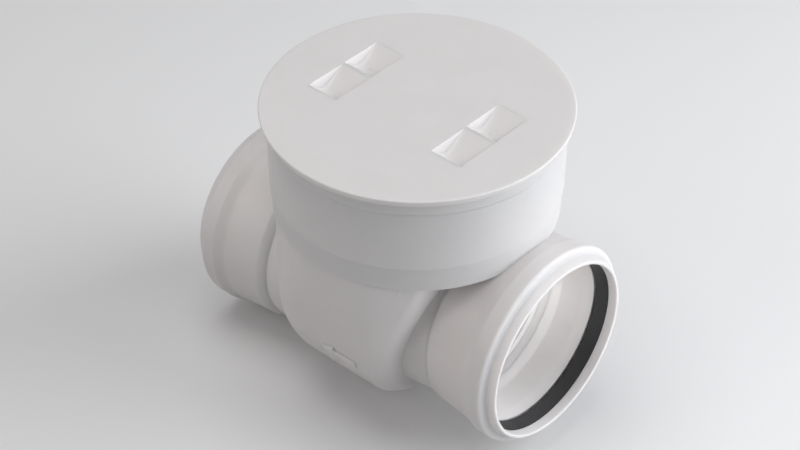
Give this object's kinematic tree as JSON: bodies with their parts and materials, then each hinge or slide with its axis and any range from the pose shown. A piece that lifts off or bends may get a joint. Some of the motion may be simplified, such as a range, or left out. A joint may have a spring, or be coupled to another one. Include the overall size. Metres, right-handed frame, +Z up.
{
  "type": "backwater valve",
  "caption": "White in-line backwater valve: round access chamber with a push-in lid over a trough with a hinged flap, between a ring-seal inlet socket and a lower outlet socket.",
  "frame": {"origin": "centre of the inlet socket, in the plane where the inlet pipe stops", "axes": "+X out of the inlet socket, +Z up, Y = 0 is the plane of symmetry"},
  "size_m": [0.2505, 0.19, 0.2127],
  "materials": {
    "white_pvc": "moulded, satin to glossy",
    "grey_plastic": "moulded, satin",
    "bush_plastic": "turned, smooth",
    "black_rubber": "moulded, matt",
    "steel": "bright"
  },
  "bodies": {
    "housing": {"valve_body": "white_pvc", "access_chamber": "white_pvc", "inlet_socket": "white_pvc", "outlet_socket": "white_pvc", "inlet_seal": "black_rubber", "outlet_seal": "black_rubber", "seat_frame": "grey_plastic", "frame_seal": "black_rubber", "frame_screws": "steel", "hinge_pin": "steel", "pin_clip_left": "steel", "pin_clip_right": "steel"},
    "flap": {"flap": "grey_plastic", "flap_gasket": "black_rubber", "gasket_clamp": "grey_plastic", "clamp_screws": "steel", "hinge_bush_left": "bush_plastic", "hinge_bush_right": "bush_plastic"},
    "lid": {"lid": "white_pvc", "lid_seal": "black_rubber"}
  },
  "joints": [
    {"name": "flap_swing", "type": "hinge", "parent": "housing", "child": "flap", "pos_m": [-0.02895, 0, 0.06611], "axis": [0, 1, 0], "range_deg": [0, 43]},
    {"name": "lid_lift", "type": "slide", "parent": "housing", "child": "lid", "axis": [0, 0, 1], "range_m": [0, 0.1]}
  ]
}
